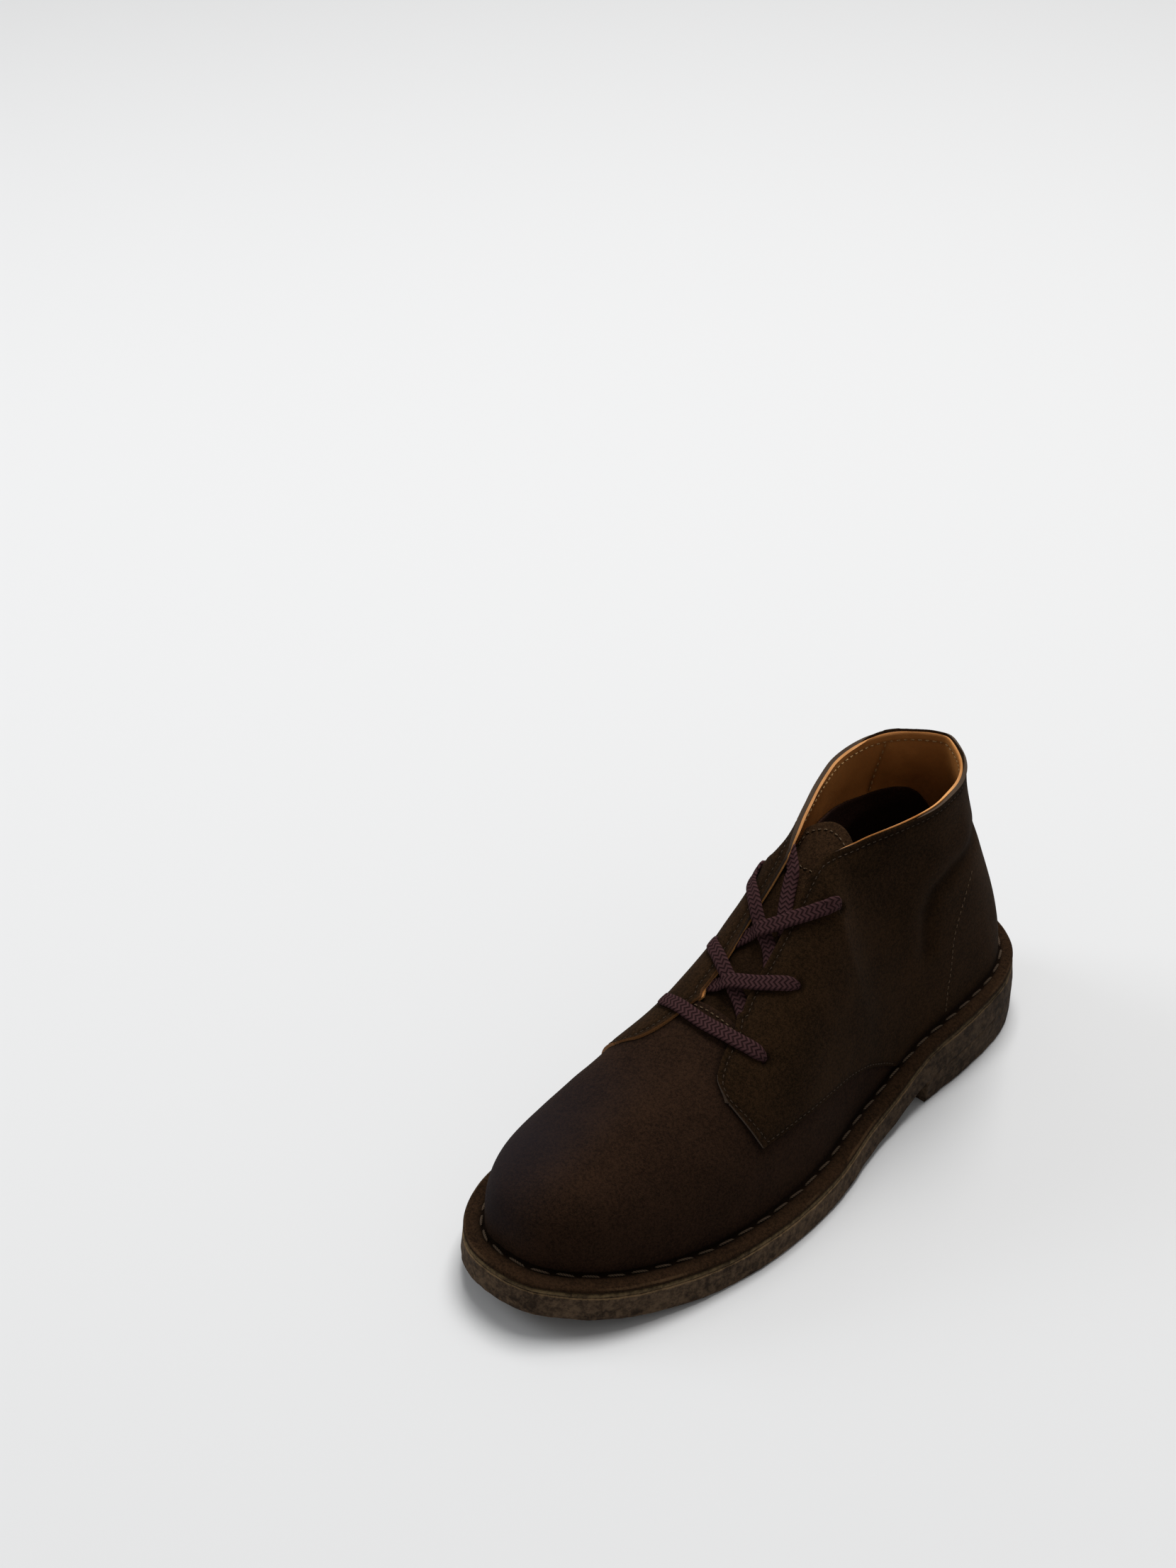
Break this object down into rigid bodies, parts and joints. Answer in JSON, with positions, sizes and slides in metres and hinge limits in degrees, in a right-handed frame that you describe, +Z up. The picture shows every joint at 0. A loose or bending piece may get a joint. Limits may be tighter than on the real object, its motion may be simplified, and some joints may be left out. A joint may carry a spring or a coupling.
{
  "type": "desert boot",
  "caption": "Left ankle-high desert boot with a stitched-down suede upper, laced over a tongue, on a crepe rubber sole with a separate heel lift.",
  "frame": {"origin": "on the floor plane, below the middle of the sole's bounding box", "axes": "+Z up, +Y towards the heel, -Y towards the toe, +X towards the outer side of the left foot"},
  "size_m": [0.1077, 0.3018, 0.1386],
  "materials": {
    "crepe": "rough crepe",
    "midsole": "raw edge",
    "insole": "smooth",
    "suede": "napped suede",
    "lace": "flat woven"
  },
  "bodies": {
    "root": {"outsole": "crepe", "heel": "crepe", "midsole": "midsole", "insole": "insole", "upper": "suede", "tongue": "suede", "lace_row_1": "lace", "lace_row_2": "lace", "lace_row_3": "lace", "lace_top": "lace"}
  },
  "joints": []
}
